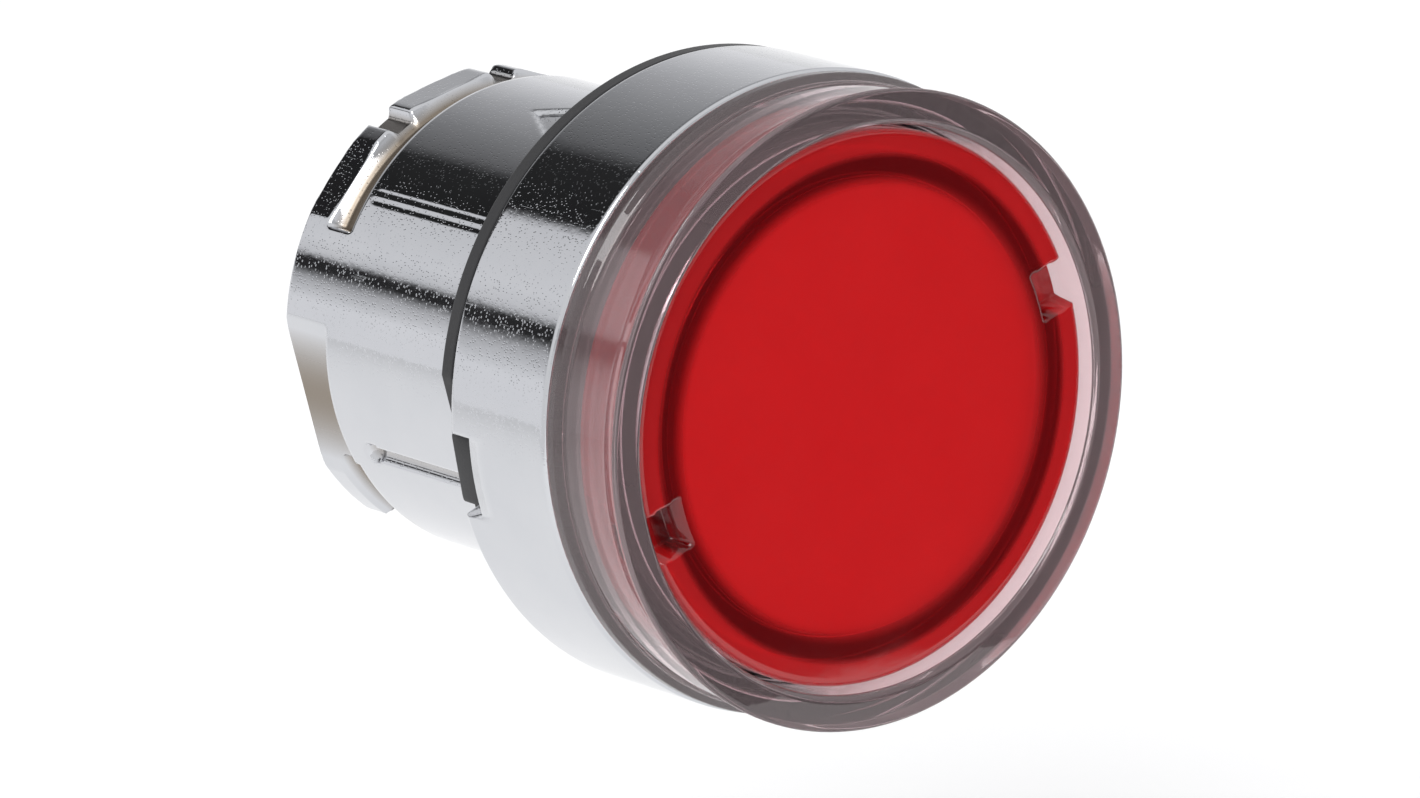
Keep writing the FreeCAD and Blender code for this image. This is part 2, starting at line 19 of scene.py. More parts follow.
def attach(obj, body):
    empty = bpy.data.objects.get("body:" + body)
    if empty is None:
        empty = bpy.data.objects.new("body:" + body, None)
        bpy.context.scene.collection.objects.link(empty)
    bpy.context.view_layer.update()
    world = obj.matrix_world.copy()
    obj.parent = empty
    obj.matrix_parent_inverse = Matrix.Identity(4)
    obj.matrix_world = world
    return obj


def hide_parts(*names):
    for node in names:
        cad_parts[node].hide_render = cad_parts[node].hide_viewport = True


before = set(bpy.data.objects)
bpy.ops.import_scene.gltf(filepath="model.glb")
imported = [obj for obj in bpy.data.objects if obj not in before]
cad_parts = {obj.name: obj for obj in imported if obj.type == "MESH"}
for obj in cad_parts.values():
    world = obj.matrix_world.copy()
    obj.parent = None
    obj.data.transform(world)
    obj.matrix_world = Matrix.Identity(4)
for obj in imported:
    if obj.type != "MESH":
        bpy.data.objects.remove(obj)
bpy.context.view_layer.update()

MM = 0.001
log = logging.getLogger("push_button")


class Body(Enum):
    """The two bodies that move against each other."""

    HEAD = "head"
    BUTTON = "button"


class Slot(Enum):
    """Material slots of the record."""

    CHROME = "chrome_plated_zinc"
    RUBBER = "black_rubber"
    CLEAR = "clear_polycarbonate"
    RED = "red_polycarbonate"
    OPAL = "opal_polycarbonate"
    SILICONE = "grey_silicone"
    BLACK = "black_plastic"
    WHITE = "white_plastic"
    ACETAL = "natural_acetal"
    SPRING = "spring_steel"
    ZINC = "zinc_plated_steel"


# --- shapes ----------------------------------------------------------------------------------
def smooth_step(low: float, high: float, value: np.ndarray) -> np.ndarray:
    """Ramp that leaves 0 at low and reaches 1 at high with level ends: 3t^2 - 2t^3."""
    t = np.clip((value - low) / (high - low), 0.0, 1.0)
    return t * t * (3.0 - 2.0 * t)


def soft_band(low: float, high: float, edge: float, value: np.ndarray) -> np.ndarray:
    """Ramp up at low times ramp down at high, each one edge wide and centred on its limit.

    Args:
        low: where the band starts.
        high: where the band ends.
        edge: width of each ramp.
        value: places to measure.

    Returns:
        1 inside the band, 0 outside it.
    """
    half = edge / 2
    return smooth_step(low - half, low + half, value) * (1 - smooth_step(high - half, high + half, value))


def turn_from(angle: np.ndarray, centre: float) -> np.ndarray:
    """Signed turn in degrees from a centre angle, between -180 and 180."""
    return (angle - centre + 180.0) % 360.0 - 180.0


def rounded_outline(corners: Sequence[Tuple[float, float, float]], closed: bool = True,
                    steps: int = 5) -> np.ndarray:
    """Outline through corners, each eased by a quadratic curve of its own radius.

    A corner at P with neighbours A and B becomes the curve (1-t)^2 S + 2t(1-t) P + t^2 E, where S and
    E lie one radius from P towards A and B. A point a quarter radius outside S and E keeps the flats
    beside the corner flat when they are shaded.

    Args:
        corners: (radius, station, corner radius) in millimetres.
        closed: whether the last corner joins the first.
        steps: spans of each eased corner.

    Returns:
        Points of the outline as rows of (radius, station).
    """
    points = np.array([c[:2] for c in corners], float)
    count = len(points)
    pieces = []
    t = np.linspace(0.0, 1.0, steps + 1)[:, None]
    for i, (_, _, size) in enumerate(corners):
        here = points[i]
        if size == 0 or (not closed and i in (0, count - 1)):
            pieces.append(here[None])
            continue
        before, after = points[i - 1] - here, points[(i + 1) % count] - here
        room = min(np.linalg.norm(before), np.linalg.norm(after)) * 0.45
        reach = min(size, room / 1.25)
        before, after = before / np.linalg.norm(before), after / np.linalg.norm(after)
        start, end = here + before * reach, here + after * reach
        curve = (1 - t) ** 2 * start + 2 * t * (1 - t) * here + t ** 2 * end
        pieces.append(np.vstack([start + before * reach / 4, curve, end + after * reach / 4]))
    return np.vstack(pieces)


def divided(outline: np.ndarray, longest: float, closed: bool = True) -> np.ndarray:
    """Outline with every span longer than a limit cut into equal spans.

    Args:
        outline: rows of (radius, station).
        longest: longest span to leave, in millimetres.
        closed: whether the last point joins the first.

    Returns:
        The outline with its added points.
    """
    ends = np.roll(outline, -1, axis=0) if closed else outline[1:]
    starts = outline if closed else outline[:-1]
    pieces = []
    for a, b in zip(starts, ends):
        count = max(1, math.ceil(np.linalg.norm(b - a) / longest))
        pieces.append(a + (b - a) * (np.arange(count) / count)[:, None])
    if not closed:
        pieces.append(outline[-1:])
    return np.vstack(pieces)


def turned_grid(outline: np.ndarray, columns: int) -> Tuple[np.ndarray, np.ndarray, np.ndarray]:
    """Radius, station and angle of every point of an outline carried round the axis.

    Args:
        outline: rows of (radius, station).
        columns: points round the axis.

    Returns:
        Three arrays of shape (outline points, columns), the angle in degrees.
    """
    angle = np.arange(columns) * 360.0 / columns
    radius = np.repeat(outline[:, :1], columns, axis=1)
    station = np.repeat(outline[:, 1:], columns, axis=1)
    return radius, station, np.repeat(angle[None], len(outline), axis=0)


def skin(name: str, radius: np.ndarray, station: np.ndarray, angle: np.ndarray,
         closed: bool) -> bpy.types.Object:
    """Closed mesh over a grid of points round the axis: x = r cos a, y = station, z = r sin a.

    Columns always join round the axis. Rows join last to first on a ring. On a disc the first and the
    last row shrink to one point each, joined by a fan.

    Args:
        name: name of the piece.
        radius: radii in millimetres, rows along the outline and columns round the axis.
        station: stations along Y in millimetres.
        angle: angles in degrees.
        closed: True for a ring, False for a disc.

    Returns:
        The new object, linked to the scene, with its faces outwards.
    """
    rows, columns = radius.shape
    a = np.radians(angle)
    verts = np.stack([radius * np.cos(a), station, radius * np.sin(a)], axis=-1).reshape(-1, 3) * MM
    last = rows if closed else rows - 1
    i = np.arange(last)[:, None]
    j = np.arange(columns)[None]
    nxt, across = (i + 1) % rows, (j + 1) % columns
    quads = np.stack([i * columns + j, nxt * columns + j, nxt * columns + across, i * columns + across],
                     axis=-1).reshape(-1, 4)
    faces = quads.tolist()
    if not closed:
        poles = np.array([[0, station[0].mean(), 0], [0, station[-1].mean(), 0]]) * MM
        first, end = len(verts), len(verts) + 1
        ring = np.arange(columns)
        start_fan = np.stack([np.full(columns, first), ring, np.roll(ring, -1)], axis=-1)
        tail = (rows - 1) * columns
        end_fan = np.stack([np.full(columns, end), tail + np.roll(ring, -1), tail + ring], axis=-1)
        faces += start_fan.tolist() + end_fan.tolist()
        verts = np.vstack([verts, poles])
    p, q, r = verts[quads[:, 0]], verts[quads[:, 1]], verts[quads[:, 2]]
    s = verts[quads[:, 3]]
    volume = (p * np.cross(q, r)).sum() + (p * np.cross(r, s)).sum()
    if volume < 0:
        faces = [face[::-1] for face in faces]
    mesh = bpy.data.meshes.new(name)
    mesh.from_pydata(verts, [], faces)
    mesh.shade_smooth()
    piece = bpy.data.objects.new(name, mesh)
    bpy.context.scene.collection.objects.link(piece)
    return piece


def merged_copy(node: str, sharp_degrees: float = 32.0) -> bpy.types.Object:
    """Copy of a CAD piece with its loose triangles joined and its curved faces shaded smooth.

    Args:
        node: the CAD piece.
        sharp_degrees: edges that turn more than this stay crisp.

    Returns:
        The new object, linked to the scene.
    """
    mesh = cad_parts[node].data.copy()
    mesh.name = node + "_part"
    if mesh.attributes.get("custom_normal"):
        mesh.attributes.remove(mesh.attributes["custom_normal"])
    work = bmesh.new()
    work.from_mesh(mesh)
    bmesh.ops.remove_doubles(work, verts=work.verts, dist=1e-7)
    work.to_mesh(mesh)
    work.free()
    mesh.shade_smooth()
    mesh.set_sharp_from_angle(angle=math.radians(sharp_degrees))
    piece = bpy.data.objects.new(node + "_part", mesh)
    bpy.context.scene.collection.objects.link(piece)
    return piece


def fit_out(piece: bpy.types.Object, body: Body, slot: Slot, material: bpy.types.Material,
            *nodes: str) -> None:
    """Give a piece its body, its finish and the CAD pieces it stands for, and report it.

    Args:
        piece: the piece to fit out.
        body: the body it moves with.
        slot: its material slot in the record; not used.
        material: its finish.
        nodes: the CAD pieces that it replaces.
    """
    piece.data.materials.clear()
    piece.data.materials.append(material)
    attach(piece, body.value)
    if nodes:
        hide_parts(*nodes)
    log.info("%s: %d faces, %s", piece.name, len(piece.data.polygons), material.name)


# --- finishes --------------------------------------------------------------------------------
def linear(colour: str) -> Tuple[float, float, float, float]:
    """Linear colour of an sRGB hex value such as #a0b1c2."""
    parts = [int(colour[i:i + 2], 16) / 255 for i in (1, 3, 5)]
    return tuple([c / 12.92 if c <= 0.04045 else ((c + 0.055) / 1.055) ** 2.4 for c in parts] + [1.0])


def add_node(tree: bpy.types.NodeTree, kind: str, settings: Optional[Dict[str, Any]] = None,
             **inputs: Any) -> bpy.types.Node:
    """Add one node with its settings, and set or link its inputs.

    Args:
        tree: the tree to add to.
        kind: the node's type.
        settings: attributes of the node.
        inputs: values or sockets by input name, with _ for a space, or by number as in i0.

    Returns:
        The new node.
    """
    node = tree.nodes.new(kind)
    for key, value in (settings or {}).items():
        setattr(node, key, value)
    for key, value in inputs.items():
        number = key[1:].isdigit() and key[0] == "i"
        socket = node.inputs[int(key[1:])] if number else node.inputs[key.replace("_", " ")]
        if isinstance(value, bpy.types.NodeSocket):
            tree.links.new(value, socket)
        else:
            socket.default_value = value
    return node


@dataclass(frozen=True)
class Finish:
    """A finish: what it is made of, how its surface was made, and the marks that use leaves on it."""

    name: str
    colour: str
    second: str  # colour of the faint mottling
    roughness: Tuple[float, float] = (0.4, 0.5)
    grain_mm: float = 0.3
    grain_depth_um: float = 2.0
    swell_mm: float = 1.5
    swell_depth_um: float = 4.0
    metallic: float = 0.0
    ior: float = 1.5
    transmission: float = 0.0
    sheen: float = 0.0
    mottle_mm: float = 3.0

    def build(self) -> bpy.types.Material:
        """Make the material: mottled colour, uneven gloss, and a fine grain over a slow swell.

        Returns:
            The new material.
        """
        material = bpy.data.materials.new(self.name)
        material.use_nodes = True
        tree = material.node_tree
        tree.nodes.clear()
        place = add_node(tree, "ShaderNodeTexCoord").outputs["Object"]
        colour, gloss = self.skin_colour(tree, place), self.skin_gloss(tree, place)
        bump = self.relief(tree, place)
        shader = add_node(tree, "ShaderNodeBsdfPrincipled", None, Base_Color=colour, Roughness=gloss,
                          Normal=bump, Metallic=self.metallic)
        if not self.metallic:
            shader.inputs["IOR"].default_value = self.ior
        shader.inputs["Transmission Weight"].default_value = self.transmission
        shader.inputs["Sheen Weight"].default_value = self.sheen
        add_node(tree, "ShaderNodeOutputMaterial", None, Surface=shader.outputs[0])
        return material

    def skin_colour(self, tree: bpy.types.NodeTree, place: bpy.types.NodeSocket) -> bpy.types.NodeSocket:
        """Two close colours mixed by slow noise."""
        noise = add_node(tree, "ShaderNodeTexNoise", None, Vector=place, Scale=1 / (self.mottle_mm * MM),
                         Detail=4.0)
        return add_node(tree, "ShaderNodeMix", {"data_type": "RGBA"}, i0=noise.outputs["Fac"],
                        i6=linear(self.colour), i7=linear(self.second)).outputs[2]

    def skin_gloss(self, tree: bpy.types.NodeTree, place: bpy.types.NodeSocket) -> bpy.types.NodeSocket:
        """Roughness that wanders between its two limits with handling."""
        noise = add_node(tree, "ShaderNodeTexNoise", None, Vector=place, Scale=0.6 / (self.mottle_mm * MM),
                         Detail=6.0, Roughness=0.6)
        return add_node(tree, "ShaderNodeMapRange", None, Value=noise.outputs["Fac"], From_Min=0.3,
                        From_Max=0.7, To_Min=self.roughness[0], To_Max=self.roughness[1]).outputs[0]

    def relief(self, tree: bpy.types.NodeTree, place: bpy.types.NodeSocket) -> bpy.types.NodeSocket:
        """Slow swell of the mould or casting, then the fine grain on top of it.

        Args:
            tree: the material's tree.
            place: where on the piece the point lies.

        Returns:
            The socket of the bumped normal.
        """
        swell = add_node(tree, "ShaderNodeTexNoise", None, Vector=place, Scale=1 / (self.swell_mm * MM),
                         Detail=2.0)
        grain = add_node(tree, "ShaderNodeTexNoise", None, Vector=place, Scale=1 / (self.grain_mm * MM),
                         Detail=3.0)
        low = add_node(tree, "ShaderNodeBump", None, Distance=self.swell_depth_um * 1e-6,
                       Height=swell.outputs["Fac"])
        high = add_node(tree, "ShaderNodeBump", None, Distance=self.grain_depth_um * 1e-6,
                        Height=grain.outputs["Fac"], Normal=low.outputs[0])
        return high.outputs[0]


@dataclass(frozen=True)
class PlatedFinish(Finish):
    """Bright plating: mirror gloss over pits, hair scratches, and painted shade in the recesses, warm and
    dark by depth, with satin gloss there.
    """

    scratch_mm: float = 0.09
    # painted shade: the warm dark colour the recesses take by their depth
    recess_shade_colour: str = "#8a8074"
    pit_mm: float = 0.16
    pit_depth_um: float = 5.0

    def recess(self, tree: bpy.types.NodeTree) -> bpy.types.NodeSocket:
        """How deep a point lies in a cut of the casting, 0 on the skin and 1 on a groove's floor."""
        depth = add_node(tree, "ShaderNodeAttribute", {"attribute_name": "recess"}).outputs["Fac"]
        return add_node(tree, "ShaderNodeMapRange", None, Value=depth, From_Min=0.25, From_Max=0.9).outputs[0]

    def skin_colour(self, tree: bpy.types.NodeTree, place: bpy.types.NodeSocket) -> bpy.types.NodeSocket:
        """Plating colour with painted shade: warm and dark by depth in the recesses."""
        return add_node(tree, "ShaderNodeMix", {"data_type": "RGBA"}, i0=self.recess(tree),
                        i6=super().skin_colour(tree, place), i7=linear(self.recess_shade_colour)).outputs[2]

    def skin_gloss(self, tree: bpy.types.NodeTree, place: bpy.types.NodeSocket) -> bpy.types.NodeSocket:
        """Mirror gloss that turns satin in the recesses."""
        return add_node(tree, "ShaderNodeMix", None, i0=self.recess(tree), i2=super().skin_gloss(tree, place),
                        i3=0.38).outputs[0]

    def relief(self, tree: bpy.types.NodeTree, place: bpy.types.NodeSocket) -> bpy.types.NodeSocket:
        """The swell and pits of the casting, with hair scratches cut across them.

        Args:
            tree: the material's tree.
            place: where on the piece the point lies.

        Returns:
            The socket of the bumped normal.
        """
        base = super().relief(tree, place)
        cells = add_node(tree, "ShaderNodeTexVoronoi", None, Vector=place, Scale=1 / (self.pit_mm * MM))
        pits = add_node(tree, "ShaderNodeMapRange", None, Value=cells.outputs["Distance"], From_Min=0.08,
                        From_Max=0.3)
        pitted = add_node(tree, "ShaderNodeBump", None, Distance=self.pit_depth_um * 1e-6,
                          Height=pits.outputs[0], Normal=base)
        skew = add_node(tree, "ShaderNodeMapping", None, Vector=place, Rotation=(0.5, 0.9, 0.3),
                        Scale=(1.0, 0.03, 0.03))
        hairs = add_node(tree, "ShaderNodeTexNoise", None, Vector=skew.outputs[0],
                         Scale=1 / (self.scratch_mm * MM), Detail=1.0)
        cut = add_node(tree, "ShaderNodeMapRange", None, Value=hairs.outputs["Fac"], From_Min=0.72,
                       From_Max=0.76, To_Min=0.0, To_Max=-1.0)
        return add_node(tree, "ShaderNodeBump", None, Distance=0.8e-6, Height=cut.outputs[0],
                        Normal=pitted.outputs[0]).outputs[0]


@dataclass(frozen=True)
class LensFinish(Finish):
    """Tinted lens with a painted shade ring: dark red over the holder's rim, between the glowing disc and the
    bright edge.
    """

    # painted shade: this dark red ring stands in for the dark holder showing through the lens
    shade_ring_colour: str = "#84090f"
    shade_ring_mm: Tuple[float, float] = (10.2, 11.1)
    edge_mm: float = 0.45

    def skin_colour(self, tree: bpy.types.NodeTree, place: bpy.types.NodeSocket) -> bpy.types.NodeSocket:
        """Painted shade by distance from the axis: a dark ring that fades in over the disc's edge and out
        past it.

        Args:
            tree: the material's tree.
            place: where on the piece the point lies.

        Returns:
            The socket of the colour.
        """
        flat = add_node(tree, "ShaderNodeVectorMath", {"operation": "MULTIPLY"}, i0=place,
                        i1=(1.0, 0.0, 1.0))
        reach = add_node(tree, "ShaderNodeVectorMath", {"operation": "LENGTH"}, i0=flat.outputs[0])
        low, high = self.shade_ring_mm
        edge = self.edge_mm
        inner = add_node(tree, "ShaderNodeMapRange", {"interpolation_type": "SMOOTHSTEP"},
                         Value=reach.outputs["Value"], From_Min=(low - edge) * MM, From_Max=(low + edge) * MM)
        outer = add_node(tree, "ShaderNodeMapRange", {"interpolation_type": "SMOOTHSTEP"},
                         Value=reach.outputs["Value"], From_Min=high * MM, From_Max=(high + edge) * MM,
                         To_Min=1.0, To_Max=0.0)
        ring = add_node(tree, "ShaderNodeMath", {"operation": "MULTIPLY"}, i0=inner.outputs[0],
                        i1=outer.outputs[0])
        return add_node(tree, "ShaderNodeMix", {"data_type": "RGBA"}, i0=ring.outputs[0],
                        i6=super().skin_colour(tree, place), i7=linear(self.shade_ring_colour)).outputs[2]


# Zinc die casting, polished, copper and nickel flashed, then bright chromium plated: a mirror whose
# pits from the casting fray the edges of what it reflects.
CHROME = PlatedFinish("bright_chrome_plated_zinc_die_casting", "#cfd0d3", "#c6c8cc", (0.03, 0.08),
                      grain_mm=0.28, grain_depth_um=2.2, swell_mm=1.8, swell_depth_um=5.0, metallic=1.0)
# Nitrile rubber, moulded: matt charcoal with a dusty bloom.
RUBBER = Finish("moulded_nitrile_rubber", "#1c1c1e", "#29292b", (0.62, 0.8), grain_mm=0.12,
                grain_depth_um=9.0, swell_mm=0.8, swell_depth_um=12.0, sheen=0.15)
# Silicone rubber, moulded in natural grey: satin, a little see-through.
SILICONE = Finish("moulded_grey_silicone", "#9d9c9f", "#8e8d91", (0.4, 0.5), grain_mm=0.2, grain_depth_um=3.0,
                  ior=1.41)
# Clear polycarbonate, injection moulded in a polished tool, with faint flow waviness; its rose tint is a
# painted reflection of the red lens inside it.
CLEAR = Finish("clear_moulded_polycarbonate", "#f0d8db", "#e9d0d4", (0.0, 0.03), grain_mm=0.8,
               grain_depth_um=0.15, swell_mm=2.2, swell_depth_um=4.0, ior=1.585, transmission=0.9)
# Red tinted polycarbonate, injection moulded: a glossy lens that lets the diffuser glow through, with a
# painted shade ring over the holder's rim.
RED = LensFinish("red_tinted_moulded_polycarbonate", "#fb2e32", "#f4292e", (0.03, 0.08), grain_mm=0.4,
                 grain_depth_um=0.6, swell_mm=2.5, swell_depth_um=3.0, ior=1.585, transmission=0.62)
# Opal polycarbonate, filled with fine white pigment: satin, and evenly bright.
OPAL = Finish("opal_diffusing_polycarbonate", "#f4f1ec", "#ebe7e2", (0.45, 0.55), grain_mm=0.15,
              grain_depth_um=2.0, ior=1.585)
# Glass-filled nylon, moulded black: satin with a fine fibre grain that greys it.
BLACK = Finish("black_glass_filled_nylon", "#383331", "#433d3a", (0.42, 0.58), grain_mm=0.18,
               grain_depth_um=4.0, ior=1.53)
# White ABS, moulded: smooth semi-gloss.
WHITE = Finish("white_moulded_abs", "#ebe8e1", "#e2ded6", (0.3, 0.42), grain_mm=0.2, grain_depth_um=1.5,
               ior=1.53)
# Natural acetal, moulded: waxy off-white.
ACETAL = Finish("natural_acetal", "#dedacb", "#d3cfbe", (0.35, 0.48), grain_mm=0.25, grain_depth_um=2.0,
                ior=1.48)
# Music wire, drawn and oiled: dark bright grey with drawing lines.
SPRING = PlatedFinish("drawn_spring_steel_wire", "#8d8b88", "#77756f", (0.22, 0.38), grain_mm=0.1,
                      grain_depth_um=2.0, metallic=1.0)
# Steel strip, zinc plated: bluish satin with small spangle.
ZINC = PlatedFinish("zinc_plated_steel_strip", "#b9bcc2", "#a3a7ae", (0.28, 0.42), grain_mm=0.3,
                    grain_depth_um=2.5, metallic=1.0)


# --- the fixed head --------------------------------------------------------------------------
@dataclass
class Casting:
    """Bezel, barrel and bayonet flange in one plated casting, with the stepped bore through it."""

    bezel_radius: float = 14.5
    bezel_front: float = -7.65
    bezel_back: float = -0.75
    register_radius: float = 11.2
    register_end: float = -0.1
    barrel_radius: float = 11.0
    barrel_end: float = 16.6
    chamber_radius: float = 9.3
    edge: float = 0.3
    groove: Tuple[float, float] = (13.15, 14.75)
    groove_depth: float = 0.8
    groove_sectors: Tuple[Tuple[float, float], ...] = ((44, 136), (196, 344))
    entry_sector: Tuple[float, float] = (218, 322)
    notch_angles: Tuple[float, ...] = (73, 105)
    facet_angles: Tuple[float, ...] = (56, 89, 124)
    keyway_angles: Tuple[float, ...] = (33, 147)
    parting_angles: Tuple[float, ...] = (125.3, 127.6)
    parting_depth: float = 0.025
    parting_width: float = 0.08
    flange_notch_depth: float = 0.55
    facet_distance: float = 10.8
    side_flat_distance: float = 10.3
    arrow_base: float = 4.9
    arrow_tip: float = 8.2
    arrow_half_width: float = 1.85
    arrow_depth: float = 0.2
    vent_angle: float = 190
    vent_radius: float = 0.4
    vent_end: float = 11.3
    bowl_radius: float = 0.56
    bezel_slot_angle: float = 175.5
    bezel_slot_half: float = 7.2  # degrees
    bezel_slot_depth: float = 2.2
    bezel_slot_start: float = -1.86
    keyway_half: float = 7.4  # degrees
    keyway_depth: float = 0.7
    keyway_start: float = 4.2
    fine_span: float = 0.16
    span: float = 1.2
    columns: int = 560

    def outline(self) -> np.ndarray:
        """Closed outline of the wall: outside from bezel to flange, then back through the bore.

        Returns:
            Rows of (radius, station), closely spaced where the barrel's marks lie.
        """
        e = self.edge
        outside = rounded_outline([
            (13.35, self.bezel_front, 0.1), (self.bezel_radius, self.bezel_front, e),
            (self.bezel_radius, self.bezel_back, e), (self.register_radius, self.bezel_back, 0.06),
            (self.register_radius, self.register_end, 0.06), (self.barrel_radius, self.register_end, 0.06),
            (self.barrel_radius, self.barrel_end, e), (self.chamber_radius, self.barrel_end, 0.15),
            (self.chamber_radius, 15.85, 0), (9.8, 15.85, 0), (9.8, 14.95, 0),
            (self.chamber_radius, 14.95, 0), (self.chamber_radius, 1.2, 0.1), (8.2, 1.2, 0.1),
            (8.2, -0.1, 0.1), (10.0, -0.1, 0.1), (10.0, -2.35, 0.1), (13.05, -2.35, 0.1),
            (13.05, -3.9, 0.1), (13.35, -3.9, 0.1)])
        on_barrel = (outside[:, 0] > 10.9) & (outside[:, 1] > self.register_end - 0.01)
        first, last = np.flatnonzero(on_barrel)[[0, -1]]
        fine = divided(outside[first:last + 1], self.fine_span, closed=False)
        return divided(np.vstack([outside[:first], fine, outside[last + 1:]]), self.span)

    def relief(self, angle: np.ndarray, station: np.ndarray) -> np.ndarray:
        """How deep the marks and cuts go under the outside, in millimetres.

        Each cut is its depth times a soft band round the axis times a soft band along it. Flats are
        the gap between the barrel's circle and a straight line: R - d / cos(turn from the flat).

        Args:
            angle: degrees round the axis.
            station: places along Y in millimetres.

        Returns:
            Depth at each point.
        """
        per_degree = math.radians(self.barrel_radius)
        start, end = self.groove
        behind = smooth_step(end - 0.08, end + 0.08, station)
        depth = np.zeros_like(angle)
        for low, high in self.groove_sectors:
            turn = turn_from(angle, (low + high) / 2)
            half = (high - low) / 2
            depth = np.maximum(depth, self.groove_depth * soft_band(-half, half, 1.3, turn)
                               * soft_band(start, end, 0.2, station))
        middle, half = sum(self.entry_sector) / 2, (self.entry_sector[1] - self.entry_sector[0]) / 2
        turn = turn_from(angle, middle)
        depth = np.maximum(depth, self.groove_depth * soft_band(-half, half, 1.6, turn) * behind)
        for centre in self.notch_angles:
            turn = turn_from(angle, centre)
            depth = np.maximum(depth, self.flange_notch_depth * soft_band(-3.1, 3.1, 1.6, turn) * behind)
        for centre in self.facet_angles:
            depth = np.maximum(depth, self.flat(angle, centre, self.facet_distance) * behind)
        from_groove = smooth_step(start + 0.22, start + 0.38, station)
        for centre in (0, 180):
            depth = np.maximum(depth, self.flat(angle, centre, self.side_flat_distance) * from_groove)
        across = turn_from(angle, 90) * per_degree
        width = self.arrow_half_width * (self.arrow_tip - station) / (self.arrow_tip - self.arrow_base)
        begun = smooth_step(self.arrow_base - 0.1, self.arrow_base + 0.1, station)
        arrow = smooth_step(-0.1, 0.1, width - np.abs(across)) * begun
        depth = np.maximum(depth, self.arrow_depth * arrow)
        plain = soft_band(0.05, start - 0.6, 0.2, station)
        for centre in self.parting_angles:
            across = turn_from(angle, centre) * per_degree
            line = self.parting_depth * np.exp(-(across / self.parting_width) ** 2)
            depth = np.maximum(depth, line * plain)
        across = turn_from(angle, self.vent_angle) * per_degree
        open_end = 1 - smooth_step(self.vent_end - 0.1, self.vent_end + 0.05, station)
        vent = np.sqrt(np.clip(self.vent_radius ** 2 - across ** 2, 0, None)) * open_end
        bowl = self.bowl_radius ** 2 - across ** 2 - (station - self.vent_end) ** 2
        bowl = np.sqrt(np.clip(bowl, 0, None))
        depth = np.maximum(depth, np.maximum(vent, bowl))
        return np.where(station >= -0.01, depth, 0.0)

    def flat(self, angle: np.ndarray, centre: float, distance: float) -> np.ndarray:
        """Depth of a flat at a distance from the axis under the barrel's circle, 0 beyond its ends."""
        turn = np.radians(np.clip(turn_from(angle, centre), -60, 60))
        return np.clip(self.barrel_radius - distance / np.cos(turn), 0, None)

    def build(self) -> None:
        """Carry the outline round the axis and press the cuts into it."""
        radius, station, angle = turned_grid(self.outline(), self.columns)
        skin_radius = np.where(station < -0.01, self.bezel_radius, self.barrel_radius)
        radius = np.minimum(radius, skin_radius - self.relief(angle, station))
        in_slot = soft_band(-self.bezel_slot_half, self.bezel_slot_half, 0.7,
                            turn_from(angle, self.bezel_slot_angle))
        in_slot = in_slot * smooth_step(self.bezel_slot_start - 0.06, self.bezel_slot_start + 0.06, station)
        in_slot = np.where(station < -0.01, in_slot, 0.0)
        radius = np.minimum(radius, self.bezel_radius - self.bezel_slot_depth * in_slot)
        for centre in self.keyway_angles:
            key = soft_band(-self.keyway_half, self.keyway_half, 1.0, turn_from(angle, centre))
            key = key * smooth_step(self.keyway_start - 0.1, self.keyway_start + 0.1, station)
            bore = (radius < 10.0) & (radius > self.chamber_radius - 0.1)
            radius = np.where(bore, np.maximum(radius, self.chamber_radius + self.keyway_depth * key), radius)
        piece = skin("plated_casting", radius, station, angle, closed=True)
        # depth of each cut, which the plating finish turns into painted shade in the recesses
        recess = piece.data.attributes.new("recess", "FLOAT", "POINT")
        recess.data.foreach_set("value", (self.relief(angle, station) / self.groove_depth).ravel())
        fit_out(piece, Body.HEAD, Slot.CHROME, CHROME.build(), "body_casting")


